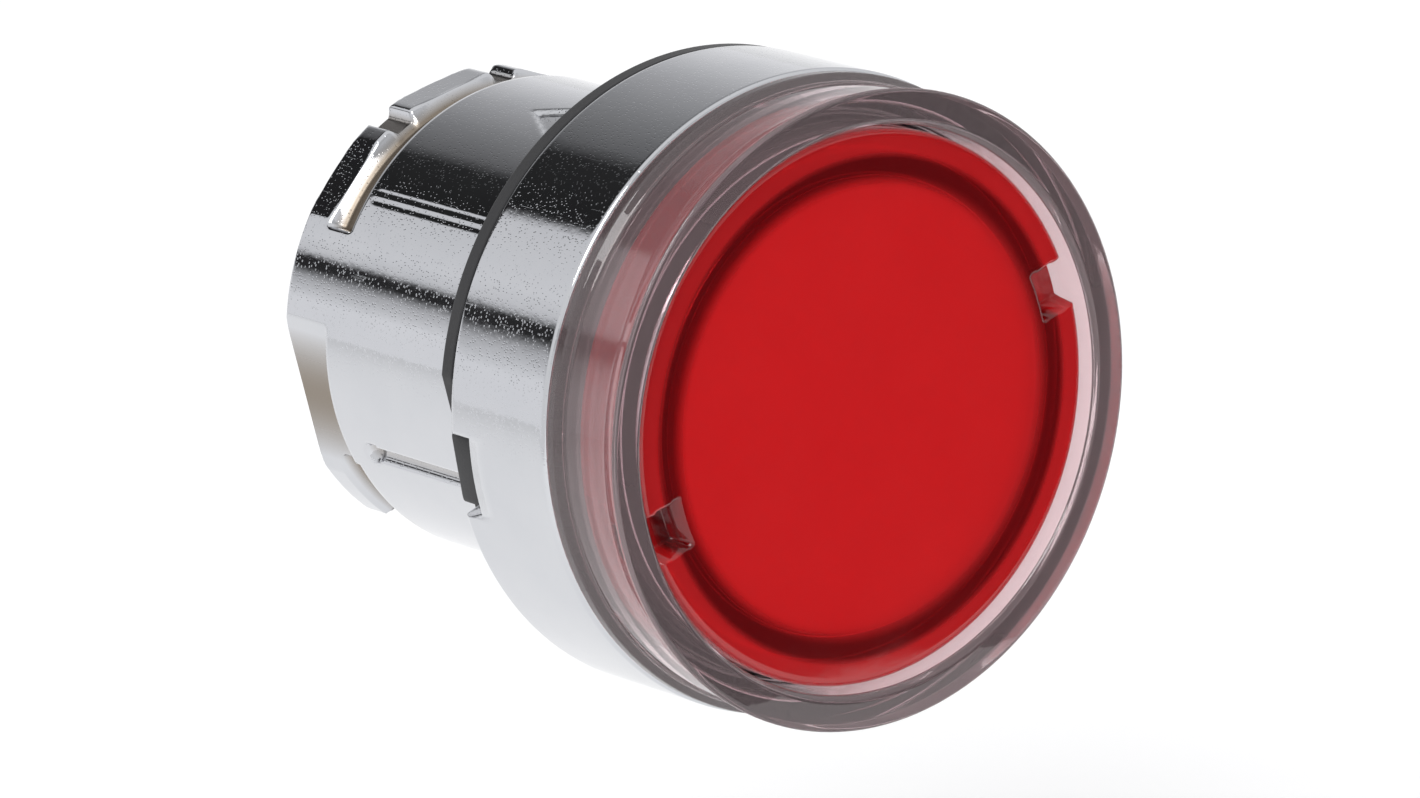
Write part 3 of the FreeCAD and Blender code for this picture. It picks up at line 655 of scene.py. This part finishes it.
@dataclass
class Gasket:
    """Flat rubber gasket, flat at the sides and trimmed below, and the tab that keys it to the bezel."""

    bore: float = 11.25
    radius: float = 14.45
    thickness: float = 0.75
    flat_distance: float = 13.4
    trimmed_half: float = 84  # degrees each way of straight down
    tab_low: Tuple[float, float, float] = (12.4, -1.8, -1.65)
    tab_high: Tuple[float, float, float] = (13.9, -0.05, 1.65)
    tab_angle: float = 175.5
    tab_power: float = 0.12
    columns: int = 360

    def build(self) -> None:
        """Ring whose outer radius is the smallest of its circle, its side flats and its lower arc."""
        edge = 0.08
        outline = divided(rounded_outline([
            (self.bore, -self.thickness, edge), (self.radius, -self.thickness, edge),
            (self.radius, 0, edge), (self.bore, 0, edge)], steps=3), 0.5)
        radius, station, angle = turned_grid(outline, self.columns)
        trimmed = soft_band(-self.trimmed_half, self.trimmed_half, 0.5, turn_from(angle, 270)) > 0.5
        limit = np.where(trimmed, self.flat_distance, self.radius)
        for centre in (0, 180):
            turn = np.radians(np.clip(turn_from(angle, centre), -60, 60))
            limit = np.minimum(limit, self.flat_distance / np.cos(turn))
        radius = self.bore + (radius - self.bore) * (limit - self.bore) / (self.radius - self.bore)
        rubber = RUBBER.build()
        fit_out(skin("gasket_ring", radius, station, angle, closed=True), Body.HEAD, Slot.RUBBER, rubber,
                "panel_gasket")
        self.build_tab(rubber)

    def build_tab(self, rubber: bpy.types.Material) -> None:
        """Rounded block in the bezel's notch: a ball squared off by a small power of sine and cosine.

        Args:
            rubber: the gasket's material.
        """
        low, high = np.array(self.tab_low), np.array(self.tab_high)
        u = np.linspace(-math.pi / 2, math.pi / 2, 17)[1:-1, None]
        v = np.linspace(-math.pi, math.pi, 33)[None, :-1]

        def power(value: np.ndarray) -> np.ndarray:
            """Sign-keeping small power that squares a circle off."""
            return np.sign(value) * np.abs(value) ** self.tab_power

        unit = np.stack([power(np.cos(u)) * power(np.cos(v)), power(np.sin(u)) + 0 * v,
                         power(np.cos(u)) * power(np.sin(v))], axis=-1)
        place = unit * (high - low) / 2 + (low + high) / 2
        turn = math.radians(self.tab_angle)
        x = place[..., 0] * math.cos(turn) - place[..., 2] * math.sin(turn)
        z = place[..., 0] * math.sin(turn) + place[..., 2] * math.cos(turn)
        rows, columns = x.shape
        verts = np.stack([x, place[..., 1], z], axis=-1).reshape(-1, 3) * MM
        i, j = np.arange(rows - 1)[:, None], np.arange(columns)[None]
        across = (j + 1) % columns
        quads = np.stack([i * columns + j, i * columns + across, (i + 1) * columns + across,
                          (i + 1) * columns + j], axis=-1).reshape(-1, 4).tolist()
        ends = [list(range(columns))[::-1], list(range((rows - 1) * columns, rows * columns))]
        mesh = bpy.data.meshes.new("gasket_tab")
        mesh.from_pydata(verts, [], quads + ends)
        work = bmesh.new()
        work.from_mesh(mesh)
        bmesh.ops.recalc_face_normals(work, faces=work.faces)
        work.to_mesh(mesh)
        work.free()
        mesh.shade_smooth()
        mesh.set_sharp_from_angle(angle=math.radians(40))
        tab = bpy.data.objects.new("gasket_tab", mesh)
        bpy.context.scene.collection.objects.link(tab)
        fit_out(tab, Body.HEAD, Slot.RUBBER, rubber)


@dataclass
class GuardRing:
    """Clear ring in the bezel's mouth, with the rubber seal under its skirt."""

    outer: float = 14.4
    neck: float = 14.05
    bore: float = 12.7
    skirt: float = 13.3
    front: float = -12.37
    lip_back: float = -11.27
    columns: int = 360

    def build(self) -> None:
        """Turn the ring's outline: flange, shallow neck, tapered lip, and the skirt with its bead."""
        outline = divided(rounded_outline([
            (self.bore + 0.25, self.front, 0.1), (self.outer, self.front, 0.28),
            (self.neck, self.lip_back, 0.12), (self.neck, -8.55, 0.12), (self.outer, -8.2, 0.08),
            (self.outer, -7.65, 0.1), (self.skirt, -7.65, 0.06), (self.skirt, -5.2, 0.06),
            (self.skirt + 0.2, -5.0, 0.06), (self.skirt, -4.8, 0.03), (self.skirt, -4.6, 0.06),
            (self.bore, -4.6, 0.06), (self.bore, self.front + 0.25, 0.1)], steps=4), 0.8)
        piece = skin("clear_guard_ring", *turned_grid(outline, self.columns), closed=True)
        fit_out(piece, Body.HEAD, Slot.CLEAR, CLEAR.build(), "guard_ring")
        fit_out(merged_copy("guard_seal"), Body.HEAD, Slot.SILICONE, SILICONE.build(), "guard_seal")


@dataclass
class BarrelHardware:
    """What the barrel holds: bush, lip seal, retainer, spring seat, circlip and the coil."""

    def build(self) -> None:
        """Dress each piece in its own finish."""
        acetal, rubber, zinc, wire = ACETAL.build(), RUBBER.build(), ZINC.build(), SPRING.build()
        black = BLACK.build()
        for node, slot, material in (
                ("guide_bush", Slot.ACETAL, acetal), ("lip_seal", Slot.RUBBER, rubber),
                ("seal_retainer", Slot.BLACK, black), ("spring_seat", Slot.ZINC, zinc),
                ("rear_circlip", Slot.SPRING, wire)):
            fit_out(merged_copy(node), Body.HEAD, slot, material, node)
        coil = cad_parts["return_spring"]
        coil.data.materials.clear()
        coil.data.materials.append(wire)
        log.info("return_spring: CAD piece in %s", wire.name)


# --- the moving button -----------------------------------------------------------------------
@dataclass
class LensAssembly:
    """Red lens, opal diffuser, dark holder and its O-ring."""

    radius: float = 12.45
    face: float = -11.7
    wall: float = 1.2
    skirt_bore: float = 11.45
    skirt_end: float = -8.5
    seat_radius: float = 10.35
    seat_back: float = -9.5
    notch_angles: Tuple[float, ...] = (4.0, 184.0)
    notch_half_width: float = 1.1
    notch_radius: float = 10.6
    notch_depth: float = 1.4
    columns: int = 720

    def build_lens(self) -> None:
        """Disc with a skirt; a notch pushes the face back where both its bands overlap."""
        under = self.face + self.wall
        outline = rounded_outline([
            (0.3, self.face, 0), (self.radius, self.face, 0.35), (self.radius, self.skirt_end, 0.08),
            (self.skirt_bore, self.skirt_end, 0.08), (self.skirt_bore, self.seat_back, 0.1),
            (self.seat_radius, self.seat_back, 0.1), (self.seat_radius, under, 0.2), (0.3, under, 0)],
            closed=False)
        on_rim = (outline[:, 0] > self.notch_radius - 2) & (outline[:, 1] < under)
        first, last = np.flatnonzero(on_rim)[[0, -1]]
        fine = divided(np.vstack([[self.notch_radius - 0.3, self.face], outline[first:last + 1]]), 0.12,
                       closed=False)
        outline = divided(np.vstack([outline[:first], fine, outline[last + 1:]]), 1.5, closed=False)
        radius, station, angle = turned_grid(outline, self.columns)
        for centre in self.notch_angles:
            across = radius * np.sin(np.radians(np.clip(turn_from(angle, centre), -90, 90)))
            near = smooth_step(self.notch_radius - 0.05, self.notch_radius + 0.05, radius)
            cut = soft_band(-self.notch_half_width, self.notch_half_width, 0.1, across) * near
            station = np.where(station < under, np.maximum(station, self.face + self.notch_depth * cut),
                               station)
        piece = skin("red_lens", radius, station, angle, closed=False)
        fit_out(piece, Body.BUTTON, Slot.RED, RED.build(), "lens_cap")

    def build_diffuser(self) -> None:
        """Disc with a full round on its front edge."""
        outline = divided(rounded_outline([
            (0.3, -10.45, 0), (10.3, -10.45, 0.8), (10.3, -9.5, 0.1), (0.3, -9.5, 0)], closed=False), 1.0,
            closed=False)
        piece = skin("opal_diffuser", *turned_grid(outline, 240), closed=False)
        fit_out(piece, Body.BUTTON, Slot.OPAL, OPAL.build(), "diffuser_disc")

    def build(self) -> None:
        """Make the lens and diffuser and dress the holder and its ring."""
        self.build_lens()
        self.build_diffuser()
        fit_out(merged_copy("lens_holder"), Body.BUTTON, Slot.BLACK, BLACK.build(), "lens_holder")
        fit_out(merged_copy("holder_seal"), Body.BUTTON, Slot.RUBBER, RUBBER.build(), "holder_seal")


@dataclass
class PlungerAssembly:
    """Plunger tube, the pusher ring behind it and the light tunnel inside it."""

    def build(self) -> None:
        """Dress the three pieces in their moulded plastics."""
        for node, slot, finish in (("plunger", Slot.WHITE, WHITE), ("contact_pusher", Slot.BLACK, BLACK),
                                   ("light_tunnel", Slot.WHITE, WHITE)):
            fit_out(merged_copy(node), Body.BUTTON, slot, finish.build(), node)


# --- studio ----------------------------------------------------------------------------------
@dataclass
class Studio:
    """Pale floor under a white tent whose dark bands are drawn along the chrome."""

    floor_drop: float = 45.0
    floor_half: float = 3000.0
    tent: Tuple[Tuple[float, float], ...] = (
        (-180, 1.0), (-30, 1.0), (0, 0.92), (18, 0.72), (36, 0.5), (58, 0.3), (76, 0.17), (83, 0.03),
        (109, 0.02), (112, 0.82), (136, 0.92), (143, 0.8), (146, 0.03), (151, 0.03), (156, 0.6),
        (166, 1.0), (180, 1.0))
    front_bands: float = 0.35
    front_light: float = 0.92
    cool: float = 1.02  # blue of the tent over its red and green
    flag_half: float = 0.05
    flag_distance: float = 0.085

    def build(self) -> None:
        """Make the tent, the floor, the soft box and the card."""
        self.build_tent()
        self.build_floor()
        self.build_softbox()
        self.build_flag()

    def build_tent(self) -> None:
        """World light by direction: bands by the angle round the Y axis, white where Y is small."""
        world = bpy.data.worlds.new("white_tent")
        bpy.context.scene.world = world
        world.use_nodes = True
        tree = world.node_tree
        tree.nodes.clear()
        way = add_node(tree, "ShaderNodeTexCoord").outputs["Generated"]
        parts = add_node(tree, "ShaderNodeSeparateXYZ", None, Vector=way)
        turn = add_node(tree, "ShaderNodeMath", {"operation": "ARCTAN2"}, i0=parts.outputs[2],
                        i1=parts.outputs[0])
        place = add_node(tree, "ShaderNodeMapRange", None, Value=turn.outputs[0], From_Min=-math.pi,
                         From_Max=math.pi)
        ramp = add_node(tree, "ShaderNodeValToRGB", None, Fac=place.outputs[0])
        stops = ramp.color_ramp.elements
        stops.remove(stops[-1])
        for angle, level in self.tent:
            first = angle == self.tent[0][0]
            stop = stops[0] if first else stops.new((angle + 180) / 360)
            stop.color = (level, level, level * self.cool, 1)
        rear = add_node(tree, "ShaderNodeMapRange", {"interpolation_type": "SMOOTHSTEP"},
                        Value=parts.outputs[1], From_Min=0.35, From_Max=0.6)
        front = add_node(tree, "ShaderNodeMapRange", {"interpolation_type": "SMOOTHSTEP"},
                         Value=parts.outputs[1], From_Min=-0.35, From_Max=-0.6, To_Max=self.front_bands)
        side = add_node(tree, "ShaderNodeMath", {"operation": "MAXIMUM"}, i0=rear.outputs[0],
                        i1=front.outputs[0])
        glow = self.front_light
        light = add_node(tree, "ShaderNodeMix", {"data_type": "RGBA"}, i0=side.outputs[0],
                         i6=(glow, glow, glow * 1.01, 1), i7=ramp.outputs[0])
        shade = add_node(tree, "ShaderNodeBackground", None, Color=light.outputs[2], Strength=1.0)
        add_node(tree, "ShaderNodeOutputWorld", None, Surface=shade.outputs[0])

    def build_floor(self) -> None:
        """Large plain sheet under the head."""
        half, drop = self.floor_half * MM, -self.floor_drop * MM
        mesh = bpy.data.meshes.new("studio_floor")
        corners = [(-half, -half, drop), (half, -half, drop), (half, half, drop), (-half, half, drop)]
        mesh.from_pydata(corners, [], [(0, 1, 2, 3)])
        sheet = bpy.data.objects.new("studio_floor", mesh)
        bpy.context.scene.collection.objects.link(sheet)
        material = bpy.data.materials.new("pale_paper_sweep")
        material.use_nodes = True
        shader = material.node_tree.nodes["Principled BSDF"]
        shader.inputs["Base Color"].default_value = linear("#f4f4f4")
        shader.inputs["Roughness"].default_value = 0.9
        shader.inputs["Specular IOR Level"].default_value = 0.1
        shader.inputs["Emission Color"].default_value = (1, 1, 1, 1)
        shader.inputs["Emission Strength"].default_value = 0.16
        mesh.materials.append(material)

    def build_softbox(self) -> None:
        """Large soft lamp above and to the left of the front."""
        lamp = bpy.data.lights.new("soft_box", "AREA")
        lamp.shape, lamp.size, lamp.energy = "DISK", 0.5, 3.0
        holder = bpy.data.objects.new("soft_box", lamp)
        place = Vector((-0.35, -0.35, 0.75))
        holder.location = place
        holder.rotation_mode = "QUATERNION"
        holder.rotation_quaternion = (-place).to_track_quat("-Z", "Y")
        bpy.context.scene.collection.objects.link(holder)

    def build_flag(self) -> None:
        """Dark grey card that the lens mirrors, so its red isn't washed out. Only reflections see it."""
        way = Vector((0.513, -0.769, -0.382)).normalized()
        centre = Vector((0, -11.7 * MM, 0)) + way * self.flag_distance
        turn = way.to_track_quat("Z", "Y").to_matrix()
        half = self.flag_half
        corners = [centre + turn @ Vector((x, y, 0))
                   for x, y in ((-half, -half), (half, -half), (half, half), (-half, half))]
        mesh = bpy.data.meshes.new("black_flag")
        mesh.from_pydata([tuple(c) for c in corners], [], [(0, 1, 2, 3)])
        card = bpy.data.objects.new("black_flag", mesh)
        bpy.context.scene.collection.objects.link(card)
        material = bpy.data.materials.new("black_velvet_card")
        material.use_nodes = True
        shader = material.node_tree.nodes["Principled BSDF"]
        shader.inputs["Base Color"].default_value = linear("#3a3a3c")
        shader.inputs["Roughness"].default_value = 1.0
        shader.inputs["Specular IOR Level"].default_value = 0.0
        mesh.materials.append(material)
        card.visible_camera = False
        card.visible_diffuse = False
        card.visible_transmission = False
        card.visible_shadow = False


@dataclass
class Viewpoint:
    """Long lens from the front left, a little above, rolled with the tilted head."""

    azimuth: float = -33.73
    elevation: float = 22.46
    roll: float = -13.71
    distance: float = 438.2
    aim: Tuple[float, float, float] = (-0.61, -1.0, -1.33)
    lens: float = 248.7
    sensor: float = 36.0

    def build(self) -> None:
        """Place the camera: back is the way from the aim to the camera, then roll about it."""
        a, e, r = (math.radians(v) for v in (self.azimuth, self.elevation, self.roll))
        back = Vector((math.sin(a) * math.cos(e), -math.cos(a) * math.cos(e), math.sin(e)))
        level = Vector((math.cos(a), math.sin(a), 0))
        right = level * math.cos(r) + back.cross(level) * math.sin(r)
        up = back.cross(right)
        camera = bpy.data.cameras.new("camera")
        camera.lens, camera.sensor_width = self.lens, self.sensor
        camera.clip_start, camera.clip_end = 0.01, 20.0
        holder = bpy.data.objects.new("camera", camera)
        place = (Vector(self.aim) + back * self.distance) * MM
        turn = Matrix((right, up, back)).transposed().to_4x4()
        holder.matrix_world = Matrix.Translation(place) @ turn
        bpy.context.scene.collection.objects.link(holder)
        bpy.context.scene.camera = holder


def main() -> None:
    """Build every assembly in order, then the studio and the camera, and set the view transform."""
    logging.basicConfig(level=logging.INFO, format="%(name)s %(message)s")
    for part in (Casting(), Gasket(), GuardRing(), BarrelHardware(), LensAssembly(), PlungerAssembly(),
                 Studio(), Viewpoint()):
        log.info("building %s", type(part).__name__)
        part.build()
    bpy.context.scene.view_settings.view_transform = "Standard"


if __name__ == "__main__":
    main()
